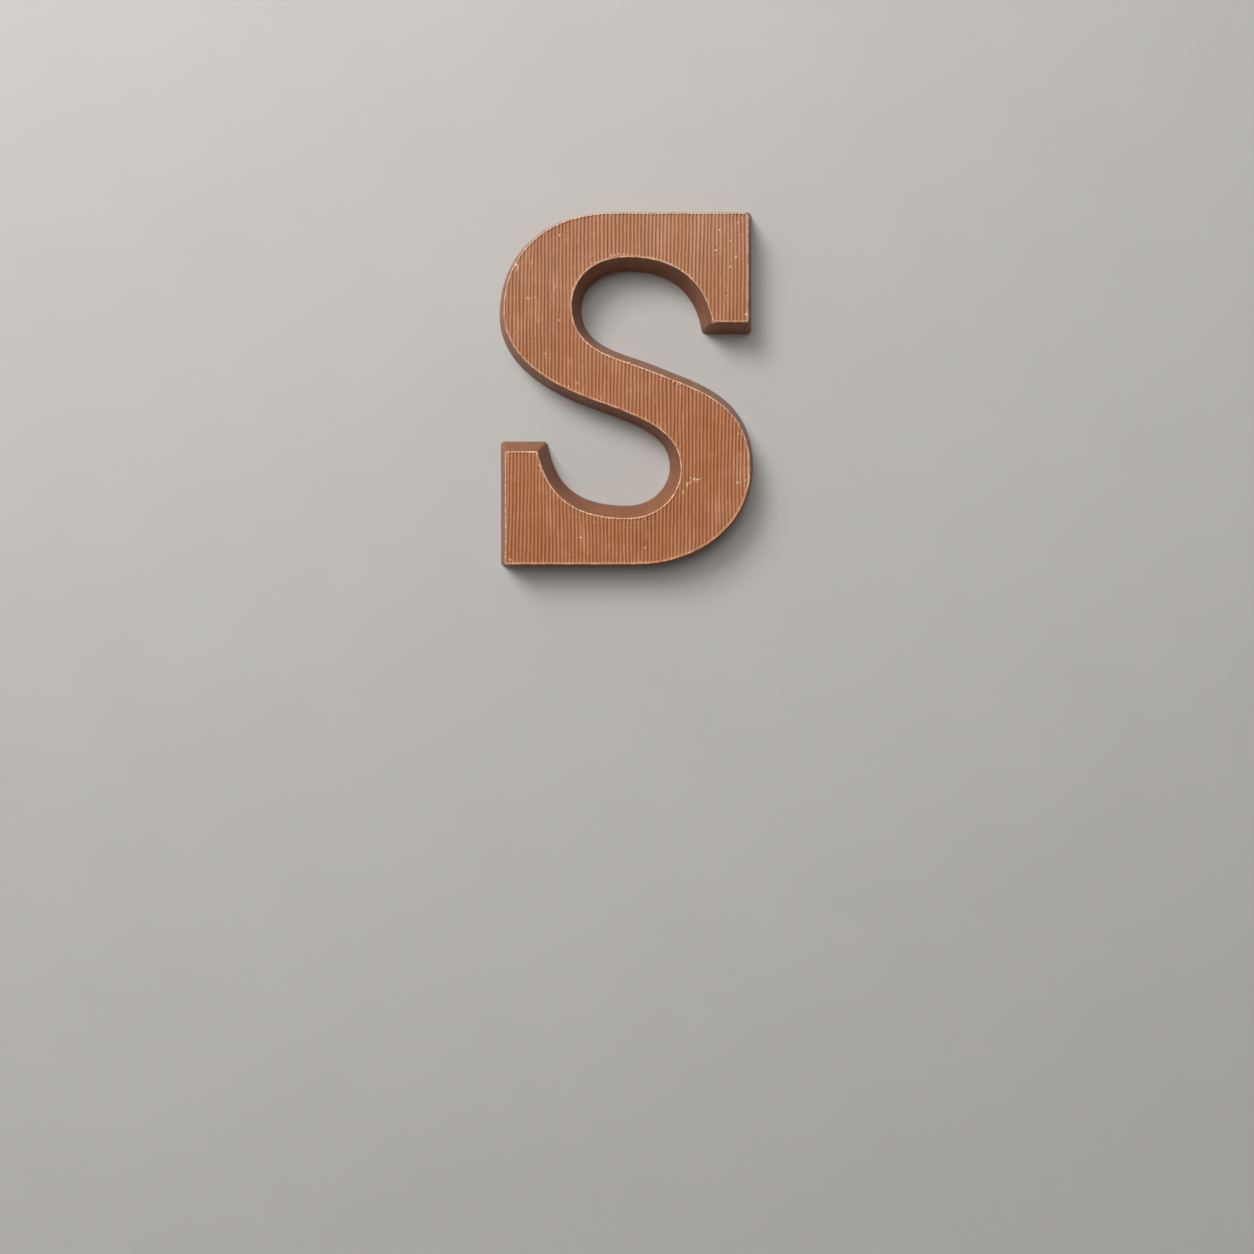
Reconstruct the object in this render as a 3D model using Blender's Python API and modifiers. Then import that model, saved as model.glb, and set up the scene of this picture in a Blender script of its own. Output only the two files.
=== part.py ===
"""A moulded milk-chocolate letter S with a fluted face.

The letter lies on its flat back with the face up: +Y runs to the top of the letter,
+X to its right and +Z out of the face. The origin is under the letter's middle, in
the plane of its back. Lengths are in metres, worked out from sizes in millimetres.
"""

import math
from dataclasses import dataclass

import bmesh
import bpy
from mathutils import Vector
from mathutils.geometry import delaunay_2d_cdt, interpolate_bezier

MM = 0.001

# The face: the outline where the walls meet the front.
FACE_HEIGHT = 105.0 * MM
FACE_WIDTH = 73.6 * MM
THICKNESS = 10.5 * MM

# The terminals, the two square ends of the stroke.
UPPER_TERMINAL_RIGHT = 36.3 * MM
UPPER_TERMINAL_INNER = 25.7 * MM
UPPER_TERMINAL_END = 19.8 * MM
LOWER_TERMINAL_LEFT = -36.4 * MM
LOWER_TERMINAL_INNER = -26.7 * MM
LOWER_TERMINAL_END = -18.8 * MM

# The walls lean out towards the back, so that the letter leaves its mould.
BACK_SPREAD = 2.6 * MM
BACK_EDGE = 0.25 * MM
FRONT_EDGE = 0.4 * MM
FRONT_EDGE_STEPS = 2
FRONT_CORNER_RADIUS = 0.7 * MM
BACK_CORNER_RADIUS = 1.7 * MM
CORNER_STEPS = 4
CURVE_STEP = 2.4 * MM

# The flutes run up and down the face, and stop short of its rim.
FLUTE_COUNT = 67
FLUTE_PITCH = FACE_WIDTH / FLUTE_COUNT
FLUTE_DEPTH = 0.3 * MM
GROOVE_TOP_WIDTH = 0.62 * FLUTE_PITCH
GROOVE_FLOOR_WIDTH = 0.22 * FLUTE_PITCH
RIM_WIDTH = 0.55 * MM
GROOVE_END_RUN = 0.35 * MM
FIELD_CORNER_RADIUS = 0.35 * MM
# How far the cutters reach below and above the face.
FIELD_DEPTH = 2 * FLUTE_DEPTH
CUT_HEIGHT = 0.3 * MM

# How a flat loop is filled: only inside its outline, with points this near (in
# millimetres) taken as one.
INSIDE_ONLY = 1
FILL_TOLERANCE = 1e-5

CHOCOLATE_COLOUR = (0.32, 0.125, 0.062, 1.0)
CHOCOLATE_ROUGHNESS = 0.42
SMOOTH_UNDER = math.radians(25)


@dataclass(frozen=True)
class Knot:
    """A point of the outline that the stroke passes with a heading in degrees.

    The handles are the lengths of the Bezier handles before and after the point.
    A corner has a straight side on at least one hand, and its handle there is zero.
    """

    x: float
    y: float
    heading: float = 0.0
    before: float = 0.0
    after: float = 0.0
    corner: bool = False

    @property
    def place(self):
        """The point itself, in the plane of the outline."""
        return Vector((self.x, self.y, 0.0))

    @property
    def direction(self):
        """The heading as a vector of length one."""
        angle = math.radians(self.heading)
        return Vector((math.cos(angle), math.sin(angle), 0.0))


def outline_knots():
    """The face's outline, anticlockwise from the top right corner."""
    top = FACE_HEIGHT / 2
    side = FACE_WIDTH / 2
    return [
        Knot(UPPER_TERMINAL_RIGHT, top, corner=True),
        # Upper bowl, outside
        Knot(-4.1 * MM, top, 180, 0, 17.4 * MM),
        Knot(-side, 22.8 * MM, 270, 20.1 * MM, 13.9 * MM),
        # Lower edge of the diagonal, then the lower counter
        Knot(-9.5 * MM, -3.6 * MM, 340.5, 13.6 * MM, 15.4 * MM),
        Knot(16.1 * MM, -24.1 * MM, 270, 11.4 * MM, 6.9 * MM),
        Knot(0.2 * MM, -38.7 * MM, 180, 10.3 * MM, 15.5 * MM),
        # Lower terminal
        Knot(LOWER_TERMINAL_INNER, LOWER_TERMINAL_END, 102.6, 14.3 * MM, 0, True),
        Knot(LOWER_TERMINAL_LEFT, LOWER_TERMINAL_END, corner=True),
        Knot(LOWER_TERMINAL_LEFT, -top, corner=True),
        # Lower bowl, outside
        Knot(2.1 * MM, -top, 0, 0, 20.6 * MM),
        Knot(side, -24.3 * MM, 90, 15.4 * MM, 19.8 * MM),
        # Upper edge of the diagonal, then the upper counter
        Knot(7.6 * MM, 5.1 * MM, 158.2, 16.3 * MM, 11.3 * MM),
        Knot(-16.5 * MM, 25.0 * MM, 90, 14.0 * MM, 6.2 * MM),
        Knot(0.8 * MM, 39.2 * MM, 0, 12.6 * MM, 12.9 * MM),
        # Upper terminal
        Knot(UPPER_TERMINAL_INNER, UPPER_TERMINAL_END, 280.8, 13.3 * MM, 0, True),
        Knot(UPPER_TERMINAL_RIGHT, UPPER_TERMINAL_END, corner=True),
    ]


@dataclass(frozen=True)
class Station:
    """A point of the outline, with the outward normals of the sides that meet there."""

    place: Vector
    normal_before: Vector
    normal_after: Vector

    @property
    def corner(self):
        """Whether two sides meet here at an angle."""
        return self.normal_before != self.normal_after


def outward(direction):
    """The outward normal of a side that runs anticlockwise in this direction."""
    return Vector((direction.y, -direction.x, 0.0)).normalized()


def side_points(start, end):
    """The points from one knot up to the next, both included."""
    if not start.after and not end.before:
        return [start.place, end.place]
    first_handle = start.place + start.direction * start.after
    last_handle = end.place - end.direction * end.before
    span = (
        (first_handle - start.place).length
        + (last_handle - first_handle).length
        + (end.place - last_handle).length
    )
    count = math.ceil(span / CURVE_STEP) + 1
    return interpolate_bezier(start.place, first_handle, last_handle, end.place, count)


def outline_stations():
    """The whole outline as stations, one list from the top right corner round to it."""
    knots = outline_knots()
    sides = [
        side_points(knot, knots[(index + 1) % len(knots)])
        for index, knot in enumerate(knots)
    ]
    stations = []
    for index, points in enumerate(sides):
        knot = knots[index]
        previous = sides[index - 1]
        if knot.corner:
            before = outward(previous[-1] - previous[-2])
            after = outward(points[1] - points[0])
        else:
            before = after = outward(knot.direction)
        stations.append(Station(points[0], before, after))
        for back, here, ahead in zip(points, points[1:], points[2:]):
            normal = outward(ahead - back)
            stations.append(Station(here, normal, normal))
    return stations


def ring(stations, spread, corner_radius, height):
    """The outline moved outwards by spread, its corners rounded, at this height."""
    points = []
    for station in stations:
        before, after = station.normal_before, station.normal_after
        if not station.corner:
            points.append(station.place + before * spread)
            continue
        mitre = (before + after) / (1.0 + before.dot(after))
        centre = station.place + mitre * (spread - corner_radius)
        for step in range(CORNER_STEPS + 1):
            turned = before.slerp(after, step / CORNER_STEPS)
            points.append(centre + turned * corner_radius)
    return [Vector((point.x, point.y, height)) for point in points]


def new_object(name, mesh, collection):
    """An object that holds this mesh, linked to the collection."""
    made = bpy.data.objects.new(name, mesh)
    collection.objects.link(made)
    return made


def fill_flat(shape, loop):
    """Fills a flat loop of vertices, which runs anticlockwise, with triangles that look up."""
    flat = [vertex.co.xy / MM for vertex in loop]
    filled = delaunay_2d_cdt(flat, [], [list(range(len(loop)))], INSIDE_ONLY, FILL_TOLERANCE)
    return [shape.faces.new([loop[corner] for corner in corners]) for corners in filled[2]]


def loft(name, rings):
    """A closed mesh through the rings, which run from the lowest to the highest."""
    shape = bmesh.new()
    loops = [[shape.verts.new(point) for point in points] for points in rings]
    for lower, upper in zip(loops, loops[1:]):
        for index in range(len(lower)):
            following = (index + 1) % len(lower)
            shape.faces.new((lower[index], lower[following], upper[following], upper[index]))
    bottom = fill_flat(shape, loops[0])
    bmesh.ops.reverse_faces(shape, faces=bottom)
    fill_flat(shape, loops[-1])
    mesh = bpy.data.meshes.new(name)
    shape.to_mesh(mesh)
    shape.free()
    return mesh


def wall_spread(height):
    """How far the leaning wall stands outside the face's outline at this height."""
    return BACK_SPREAD * (1.0 - height / THICKNESS)


def letter_blank(stations):
    """The letter before its flutes: flat back, leaning walls and a rounded front edge."""
    sections = [
        (0.0, BACK_SPREAD - BACK_EDGE, BACK_CORNER_RADIUS - BACK_EDGE),
        (BACK_EDGE, wall_spread(BACK_EDGE), BACK_CORNER_RADIUS),
    ]
    shoulder = THICKNESS - FRONT_EDGE
    for step in range(FRONT_EDGE_STEPS + 1):
        angle = math.pi / 2 * step / FRONT_EDGE_STEPS
        height = shoulder + FRONT_EDGE * math.sin(angle)
        drawn_in = FRONT_EDGE * (1.0 - math.cos(angle))
        spread = wall_spread(shoulder) - drawn_in
        sections.append((height, spread, FRONT_CORNER_RADIUS - drawn_in))
    rings = [ring(stations, spread, radius, height) for height, spread, radius in sections]
    return loft("chocolate_letter", rings)


def flute_field(stations):
    """The region that the grooves may cut, its sides sloping in below the face."""
    slope = GROOVE_END_RUN / FLUTE_DEPTH
    rings = []
    for height in (-FIELD_DEPTH, CUT_HEIGHT):
        inset = RIM_WIDTH - slope * height
        rings.append(ring(stations, -inset, FIELD_CORNER_RADIUS, THICKNESS + height))
    return loft("flute_field", rings)


def groove_bar():
    """One groove's section as a bar along the whole letter, at the leftmost groove."""
    middle = -(FLUTE_COUNT - 1) / 2 * FLUTE_PITCH
    widen = (GROOVE_TOP_WIDTH - GROOVE_FLOOR_WIDTH) / FLUTE_DEPTH * CUT_HEIGHT
    half_floor = GROOVE_FLOOR_WIDTH / 2
    half_top = (GROOVE_TOP_WIDTH + widen) / 2
    section = [
        (middle - half_floor, THICKNESS - FLUTE_DEPTH),
        (middle + half_floor, THICKNESS - FLUTE_DEPTH),
        (middle + half_top, THICKNESS + CUT_HEIGHT),
        (middle - half_top, THICKNESS + CUT_HEIGHT),
    ]
    shape = bmesh.new()
    near = [shape.verts.new((x, -FACE_HEIGHT / 2, z)) for x, z in section]
    profile = shape.faces.new(near)
    swept = bmesh.ops.extrude_face_region(shape, geom=[profile])
    far = [item for item in swept["geom"] if isinstance(item, bmesh.types.BMVert)]
    bmesh.ops.translate(shape, verts=far, vec=(0.0, FACE_HEIGHT, 0.0))
    bmesh.ops.recalc_face_normals(shape, faces=shape.faces)
    mesh = bpy.data.meshes.new("groove_cutters")
    shape.to_mesh(mesh)
    shape.free()
    return mesh


def add_boolean(target, name, operation, other, solver="EXACT"):
    """A Boolean modifier on the target, which takes the other object."""
    modifier = target.modifiers.new(name, "BOOLEAN")
    modifier.operation = operation
    modifier.solver = solver
    modifier.object = other


def hide_cutter(cutter):
    """Keeps a cutter out of renders and shows it as wire."""
    cutter.hide_render = True
    cutter.display_type = "WIRE"


def chocolate_material():
    """Milk chocolate with a soft sheen."""
    material = bpy.data.materials.new("milk_chocolate")
    material.use_nodes = True
    shader = material.node_tree.nodes["Principled BSDF"]
    shader.inputs["Base Color"].default_value = CHOCOLATE_COLOUR
    shader.inputs["Roughness"].default_value = CHOCOLATE_ROUGHNESS
    shader.inputs["Metallic"].default_value = 0.0
    material.diffuse_color = CHOCOLATE_COLOUR
    return material


def clear_scene():
    """Removes every object and the collections that held them."""
    for existing in list(bpy.data.objects):
        bpy.data.objects.remove(existing, do_unlink=True)
    for existing in list(bpy.data.collections):
        bpy.data.collections.remove(existing)


def new_collection(name):
    """A collection linked to the scene."""
    made = bpy.data.collections.new(name)
    bpy.context.scene.collection.children.link(made)
    return made


def build_letter():
    """The letter, with its grooves cut by one bar repeated across the face."""
    parts = new_collection("chocolate_letter")
    cutters = new_collection("cutters")
    stations = outline_stations()

    field = new_object("flute_field", flute_field(stations), cutters)
    grooves = new_object("groove_cutters", groove_bar(), cutters)
    repeat = grooves.modifiers.new("across_the_face", "ARRAY")
    repeat.count = FLUTE_COUNT
    repeat.use_relative_offset = False
    repeat.use_constant_offset = True
    repeat.constant_offset_displace = (FLUTE_PITCH, 0.0, 0.0)
    add_boolean(grooves, "inside_the_rim", "INTERSECT", field, solver="MANIFOLD")
    hide_cutter(field)
    hide_cutter(grooves)

    letter = new_object("chocolate_letter", letter_blank(stations), parts)
    add_boolean(letter, "flutes", "DIFFERENCE", grooves)
    letter.data.materials.append(chocolate_material())
    letter.data.shade_smooth()
    letter.data.set_sharp_from_angle(angle=SMOOTH_UNDER)
    return letter


if __name__ == "__main__":
    clear_scene()
    build_letter()
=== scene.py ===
"""A moulded milk-chocolate letter S, lying face up on pale studio paper.

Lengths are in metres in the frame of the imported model: +Y runs to the top of the letter,
+X to its right and +Z out of its fluted face, and the back lies in the plane z = 0.
"""

import sys
import logging
import math
from dataclasses import dataclass, field
from enum import Enum

import bmesh
import bpy
import numpy as np
from bpy.types import ID, Material, Mesh, Node, NodeSocket, Object
from mathutils import Matrix, Vector
from mathutils.bvhtree import BVHTree
from mathutils.geometry import delaunay_2d_cdt, interpolate_bezier
from mathutils.kdtree import KDTree


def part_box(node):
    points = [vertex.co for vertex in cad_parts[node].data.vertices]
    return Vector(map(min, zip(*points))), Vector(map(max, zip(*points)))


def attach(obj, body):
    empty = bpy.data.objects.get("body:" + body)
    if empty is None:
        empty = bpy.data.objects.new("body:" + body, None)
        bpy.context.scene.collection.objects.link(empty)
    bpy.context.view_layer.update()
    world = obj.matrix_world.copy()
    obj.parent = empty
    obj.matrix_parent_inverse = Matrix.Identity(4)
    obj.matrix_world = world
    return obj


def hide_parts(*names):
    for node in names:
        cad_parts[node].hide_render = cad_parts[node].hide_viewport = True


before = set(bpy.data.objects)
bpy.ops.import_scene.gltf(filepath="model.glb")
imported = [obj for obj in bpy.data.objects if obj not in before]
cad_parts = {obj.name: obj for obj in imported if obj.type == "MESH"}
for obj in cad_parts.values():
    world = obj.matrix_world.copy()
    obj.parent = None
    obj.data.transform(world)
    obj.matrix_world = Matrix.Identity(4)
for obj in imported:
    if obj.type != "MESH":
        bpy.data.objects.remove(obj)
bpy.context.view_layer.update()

MM = 0.001
LETTER_NODE = "chocolate_letter"
PALENESS = "paleness"

Array = np.ndarray
Pair = tuple[float, float]
Triple = tuple[float, float, float]
Input = float | tuple[float, ...] | NodeSocket

log = logging.getLogger("letter")


class Randomness(Enum):
    """The seed of each thing that is drawn at random, so that every run is the same."""

    FLUTE_DRIFT = 11
    FLUTE_DEPTH = 23
    CREST_LUMPS = 37
    EDGE_WEAR = 41
    WALL_DENTS = 53
    BACK_SWELL = 67
    CREST_TONE = 97
    BROKEN_FACE = 101
    CRUMB_SHAPE = 71
    CRUMB_PLACE = 83


@dataclass(frozen=True)
class Damage:
    """What a kind of mark does where it is strongest.

    It levels the flutes by a share of their height, towards a level that is given in
    depths of a flute. It takes away a share of the paleness and adds a tone of its own.
    """

    levelling: float = 0.0
    level: float = 0.0
    fading: float = 1.0
    tone: float = 0.0


class Mark(Enum):
    """The kinds of small damage on the face."""

    # A pit is sunk and also painted dark: painted shade in its hollow
    PIT = Damage(fading=0.85)
    SCRATCH = Damage(tone=1.0)
    SCUFF = Damage(levelling=0.5, tone=0.85)
    BRIDGE = Damage(levelling=0.7, level=-0.35, fading=0.8, tone=0.45)


def placed(name: str, data: ID) -> Object:
    """Adds an object to the scene.

    Args:
        name: The object's name.
        data: Its mesh, light or camera.

    Returns:
        The object.
    """
    made = bpy.data.objects.new(name, data)
    bpy.context.scene.collection.objects.link(made)
    return made


def mesh_of(name: str, sheet: bmesh.types.BMesh) -> Mesh:
    """Turns a finished bmesh into a mesh, and frees it.

    Args:
        name: The mesh's name.
        sheet: The bmesh.

    Returns:
        The mesh.
    """
    mesh = bpy.data.meshes.new(name)
    sheet.to_mesh(mesh)
    sheet.free()
    return mesh


def smooth_step(value: Array, low: float, high: float) -> Array:
    """Rises smoothly from 0 at low to 1 at high."""
    along = np.clip((value - low) / (high - low), 0.0, 1.0)
    return along * along * (3.0 - 2.0 * along)


def smooth_noise(x: Array, y: Array, cell: Pair, seed: int) -> Array:
    """Seeded noise between -1 and 1 that varies smoothly over the plane.

    Args:
        x: The points' first coordinate.
        y: The points' second coordinate.
        cell: The size of the noise's cells along x and along y.
        seed: The seed that draws the value at each cell's corner.

    Returns:
        One value for each point.
    """
    side = 257
    lattice = np.random.default_rng(seed).uniform(-1.0, 1.0, (side, side))
    across, along = x / cell[0], y / cell[1]
    column, row = np.floor(across).astype(int), np.floor(along).astype(int)
    fx, fy = smooth_step(across - column, 0.0, 1.0), smooth_step(along - row, 0.0, 1.0)
    left, right = column % side, (column + 1) % side
    low, high = row % side, (row + 1) % side
    bottom = lattice[left, low] * (1.0 - fx) + lattice[right, low] * fx
    top = lattice[left, high] * (1.0 - fx) + lattice[right, high] * fx
    return bottom * (1.0 - fy) + top * fy


@dataclass(frozen=True)
class Knot:
    """A point of the outline that the stroke passes with a heading in degrees.

    The handles are the lengths of the Bezier handles before and after the point.
    A corner has a straight side on at least one hand, and its handle there is zero.
    """

    x: float
    y: float
    heading: float = 0.0
    before: float = 0.0
    after: float = 0.0
    corner: bool = False

    @property
    def place(self) -> Vector:
        """The point itself."""
        return Vector((self.x, self.y, 0.0))

    @property
    def direction(self) -> Vector:
        """The heading as a vector of length one."""
        angle = math.radians(self.heading)
        return Vector((math.cos(angle), math.sin(angle), 0.0))


@dataclass
class Side:
    """One side of the outline between two corners, sampled finely along its length."""

    points: Array
    lengths: Array = field(init=False)
    normals: Array = field(init=False)

    def __post_init__(self) -> None:
        """Measures the side and finds its outward normals."""
        steps = np.linalg.norm(np.diff(self.points, axis=0), axis=1)
        self.lengths = np.concatenate([[0.0], np.cumsum(steps)])
        along = np.gradient(self.points, self.lengths, axis=0)
        along /= np.linalg.norm(along, axis=1, keepdims=True)
        self.normals = np.stack([along[:, 1], -along[:, 0]], axis=1)

    @property
    def length(self) -> float:
        """The side's whole length."""
        return float(self.lengths[-1])

    def offset_points(self, start: float, end: float, count: int, spread: float) -> Array:
        """Evenly spaced points of the side, moved outwards.

        Args:
            start: Where the points begin, in length along the side; under 0 runs on straight.
            end: Where the points end; over the side's length runs on straight.
            count: How many points.
            spread: How far they are moved outwards.

        Returns:
            The points, one row each.
        """
        wanted = np.linspace(start, end, count)
        place = np.stack([np.interp(wanted, self.lengths, self.points[:, k]) for k in (0, 1)], axis=1)
        normal = np.stack([np.interp(wanted, self.lengths, self.normals[:, k]) for k in (0, 1)], axis=1)
        normal /= np.linalg.norm(normal, axis=1, keepdims=True)
        along = np.stack([-normal[:, 1], normal[:, 0]], axis=1)
        beyond = np.minimum(wanted, 0.0) + np.maximum(wanted - self.length, 0.0)
        return place + along * beyond[:, None] + normal * spread


@dataclass(frozen=True)
class Ring:
    """A closed loop round the letter: its points and the length along it of each."""

    points: Array
    travel: Array


@dataclass
class LetterOutline:
    """The outline of the face, where the walls meet the front."""

    height: float = 105.0 * MM
    width: float = 73.6 * MM
    upper_terminal_right: float = 36.3 * MM
    upper_terminal_inner: float = 25.7 * MM
    upper_terminal_end: float = 19.8 * MM
    lower_terminal_left: float = -36.4 * MM
    lower_terminal_inner: float = -26.7 * MM
    lower_terminal_end: float = -18.8 * MM
    curve_samples: int = 90
    corner_steps: int = 6
    sides: list[Side] = field(init=False)

    def __post_init__(self) -> None:
        """Samples the sides between the corners."""
        self.sides = self._sampled_sides()

    def knots(self) -> list[Knot]:
        """The outline's knots, anticlockwise from the top right corner.

        Returns:
            The knots in order.
        """
        top, side = self.height / 2, self.width / 2
        return [
            Knot(self.upper_terminal_right, top, corner=True),
            # Upper bowl, outside
            Knot(-4.1 * MM, top, 180, 0, 17.4 * MM),
            Knot(-side, 22.8 * MM, 270, 20.1 * MM, 13.9 * MM),
            # Lower edge of the diagonal, then the lower counter
            Knot(-9.5 * MM, -3.6 * MM, 340.5, 13.6 * MM, 15.4 * MM),
            Knot(16.1 * MM, -24.1 * MM, 270, 11.4 * MM, 6.9 * MM),
            Knot(0.2 * MM, -38.7 * MM, 180, 10.3 * MM, 15.5 * MM),
            # Lower terminal
            Knot(self.lower_terminal_inner, self.lower_terminal_end, 102.6, 14.3 * MM, 0, True),
            Knot(self.lower_terminal_left, self.lower_terminal_end, corner=True),
            Knot(self.lower_terminal_left, -top, corner=True),
            # Lower bowl, outside
            Knot(2.1 * MM, -top, 0, 0, 20.6 * MM),
            Knot(side, -24.3 * MM, 90, 15.4 * MM, 19.8 * MM),
            # Upper edge of the diagonal, then the upper counter
            Knot(7.6 * MM, 5.1 * MM, 158.2, 16.3 * MM, 11.3 * MM),
            Knot(-16.5 * MM, 25.0 * MM, 90, 14.0 * MM, 6.2 * MM),
            Knot(0.8 * MM, 39.2 * MM, 0, 12.6 * MM, 12.9 * MM),
            # Upper terminal
            Knot(self.upper_terminal_inner, self.upper_terminal_end, 280.8, 13.3 * MM, 0, True),
            Knot(self.upper_terminal_right, self.upper_terminal_end, corner=True),
        ]

    def _span(self, start: Knot, end: Knot) -> Array:
        """The points from one knot up to the next, both included.

        Args:
            start: The knot where the span begins.
            end: The knot where it ends.

        Returns:
            The points, one row each.
        """
        if not start.after and not end.before:
            return np.linspace(start.place.xy, end.place.xy, self.curve_samples)
        handles = (start.place + start.direction * start.after, end.place - end.direction * end.before)
        points = interpolate_bezier(start.place, *handles, end.place, self.curve_samples)
        return np.array([point.xy for point in points])

    def _sampled_sides(self) -> list[Side]:
        """Joins the spans between corners into sides.

        Returns:
            The sides in order, the first of them from the top right corner.
        """
        knots = self.knots()
        sides, run = [], []
        for index, knot in enumerate(knots):
            following = knots[(index + 1) % len(knots)]
            span = self._span(knot, following)
            run.append(span if not run else span[1:])
            if following.corner:
                sides.append(Side(np.concatenate(run)))
                run = []
        return sides

    def ring(self, spread: float, radius: float, step: float) -> Ring:
        """The outline moved outwards, its corners rounded.

        Every ring with the same step has the same number of points, so that two rings
        can be joined by quads.

        Args:
            spread: How far the ring stands outside the face's outline.
            radius: The radius of its corners.
            step: The spacing of its points along the sides.

        Returns:
            The ring.
        """
        points = []
        for index, side in enumerate(self.sides):
            ahead = self.sides[(index + 1) % len(self.sides)]
            behind = self.sides[index - 1]
            start = self._trim(behind, side, spread, radius)
            end = side.length - self._trim(side, ahead, spread, radius)
            count = max(3, round(side.length / step))
            points.append(side.offset_points(start, end, count, spread))
            before, after = side.normals[-1], ahead.normals[0]
            mitre = (before + after) / (1.0 + before @ after)
            centre = side.points[-1] + mitre * (spread - radius)
            turn = math.atan2(before[0] * after[1] - before[1] * after[0], before @ after)
            for number in range(1, self.corner_steps):
                angle = turn * number / self.corner_steps
                cosine, sine = math.cos(angle), math.sin(angle)
                across = before[0] * cosine - before[1] * sine
                up = before[0] * sine + before[1] * cosine
                points.append((centre + np.array([across, up]) * radius)[None])
        joined = np.concatenate(points)
        steps = np.linalg.norm(np.roll(joined, -1, axis=0) - joined, axis=1)
        return Ring(joined, np.concatenate([[0.0], np.cumsum(steps)[:-1]]))

    @staticmethod
    def _trim(side: Side, ahead: Side, spread: float, radius: float) -> float:
        """The length of a side from the corner ahead back to where the rounding begins."""
        cosine = float(np.clip(side.normals[-1] @ ahead.normals[0], -1.0, 1.0))
        return (radius - spread) * math.tan(math.acos(cosine) / 2)


@dataclass(frozen=True)
class Blemish:
    """One mark on the face: where its middle is, how long and wide it is and how deep."""

    kind: Mark
    x: float
    y: float
    length: float
    width: float
    depth: float = 0.0
    angle: float = 90.0

    def weight(self, x: Array, y: Array) -> Array:
        """How strongly the mark touches each point.

        Args:
            x: The points' x.
            y: The points' y.

        Returns:
            1 in the middle of the mark, falling to 0 outside it.
        """
        angle = math.radians(self.angle)
        along = (x - self.x) * math.cos(angle) + (y - self.y) * math.sin(angle)
        across = (y - self.y) * math.cos(angle) - (x - self.x) * math.sin(angle)
        reach = (2.0 * along / self.length) ** 2 + (2.0 * across / self.width) ** 2
        return np.exp(-2.0 * reach)

    def fine_points(self) -> Array:
        """A close grid of points over the mark, so that the mesh can hold its shape.

        Returns:
            The points, one row each.
        """
        angle = math.radians(self.angle)
        spacing = max(self.width / 5.0, 0.07 * MM)
        along = np.arange(-0.7 * self.length, 0.7 * self.length, spacing)
        across = np.arange(-0.9 * self.width, 0.9 * self.width, spacing)
        u, v = (grid.ravel() for grid in np.meshgrid(along, across))
        x = self.x + u * math.cos(angle) - v * math.sin(angle)
        y = self.y + u * math.sin(angle) + v * math.cos(angle)
        return np.column_stack([x, y])


@dataclass(frozen=True)
class Nick:
    """A corner or edge that was knocked off along a plane."""

    place: Triple
    normal: Triple
    reach: float = 2.5 * MM
    grain: float = 0.4 * MM
    roughness: float = 0.15
    pale_from: float = -0.1 * MM
    broken_from: float = 0.22 * MM
    pale_tone: float = 0.95
    broken_tone: float = 0.3

    def cut(self, points: Array, pale: Array) -> tuple[Array, Array]:
        """Pushes what stands over the plane down onto it and makes it pale.

        Args:
            points: The vertices, one row each.
            pale: How pale they are.

        Returns:
            The new vertices and paleness.
        """
        normal = np.array(self.normal) / np.linalg.norm(self.normal)
        away = np.linalg.norm(points - np.array(self.place), axis=1)
        over = np.where(away < self.reach, (points - np.array(self.place)) @ normal, -MM)
        seed = Randomness.BROKEN_FACE.value
        noise = smooth_noise(points[:, 0], points[:, 1], (self.grain, self.grain), seed)
        rough = 1.0 - self.roughness + self.roughness * noise
        pushed = points - normal * (np.maximum(over, 0.0) * rough)[:, None]
        pale = np.where(over > self.pale_from, self.pale_tone, pale)
        return pushed, np.where(over > self.broken_from, self.broken_tone, pale)


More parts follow.
